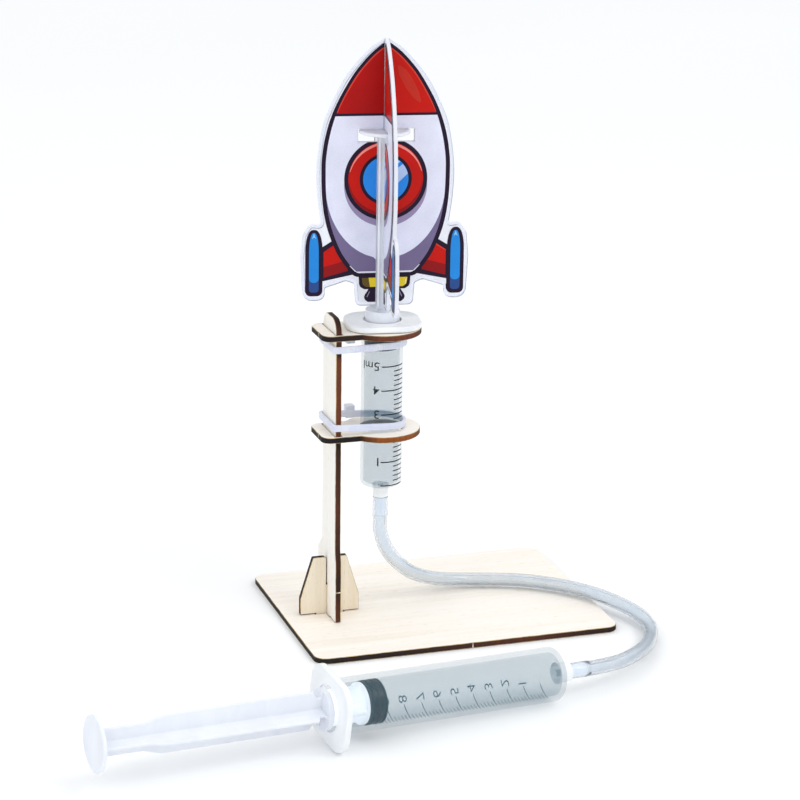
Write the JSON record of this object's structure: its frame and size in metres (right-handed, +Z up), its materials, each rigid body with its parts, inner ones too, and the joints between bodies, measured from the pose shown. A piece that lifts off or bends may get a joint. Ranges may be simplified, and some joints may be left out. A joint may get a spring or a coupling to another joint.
{
  "type": "hydraulic rocket launcher kit",
  "caption": "Plywood stand holding an upright syringe whose plunger carries a crossed-board toy rocket, joined by a clear hose to a larger hand syringe that lifts it.",
  "frame": {"origin": "centre of the base plate's underside, on the table", "axes": "+Z up, +X along the base's long edge away from the post, -Y towards the hand syringe"},
  "size_m": [0.2153, 0.1678, 0.2045],
  "materials": {
    "plywood": "unfinished laser-cut plywood, pale faces and burnt brown edges",
    "tie_nylon": "natural white nylon",
    "barrel_clear": "clear frosted polypropylene with printed black scale",
    "hose_clear": "clear soft PVC tube",
    "seal_rubber": "black moulded rubber",
    "plunger_white": "milky white moulded plastic",
    "rocket_board": "clear sheet printed with a red, white and blue toy rocket"
  },
  "bodies": {
    "root": {"base_plate": "plywood", "post": "plywood", "foot_brace": "plywood", "lower_clamp_plate": "plywood", "upper_clamp_plate": "plywood", "lower_cable_tie": "tie_nylon", "upper_cable_tie": "tie_nylon", "lift_barrel": "barrel_clear", "hand_barrel": "barrel_clear", "hose": "hose_clear"},
    "lift_piston": {"lift_piston_seal": "seal_rubber"},
    "rocket": {"lift_plunger": "plunger_white", "rocket_front_board": "rocket_board", "rocket_cross_board": "rocket_board"},
    "hand_piston": {"hand_piston_seal": "seal_rubber"},
    "hand_rod": {"hand_plunger": "plunger_white"}
  },
  "joints": [
    {"name": "rocket_lift", "type": "slide", "parent": "root", "child": "lift_piston", "axis": [0, 0, 1], "range_m": [-0.0046, 0.009]},
    {"name": "rocket_spin", "type": "hinge", "parent": "lift_piston", "child": "rocket", "pos_m": [-0.02085, -0.003, 0.1], "axis": [0, 0, 1], "continuous": true},
    {"name": "hand_push", "type": "slide", "parent": "root", "child": "hand_piston", "axis": [0.9851, 0.1666, -0.0419], "range_m": [-0.0034, 0.0622]},
    {"name": "hand_spin", "type": "hinge", "parent": "hand_piston", "child": "hand_rod", "pos_m": [-0.05482, -0.1017, 0.01194], "axis": [0.9851, 0.1666, -0.0419], "continuous": true}
  ],
  "couplings": [
    {"joint": "hand_push", "follows": "rocket_lift", "ratio": 0.7381}
  ]
}
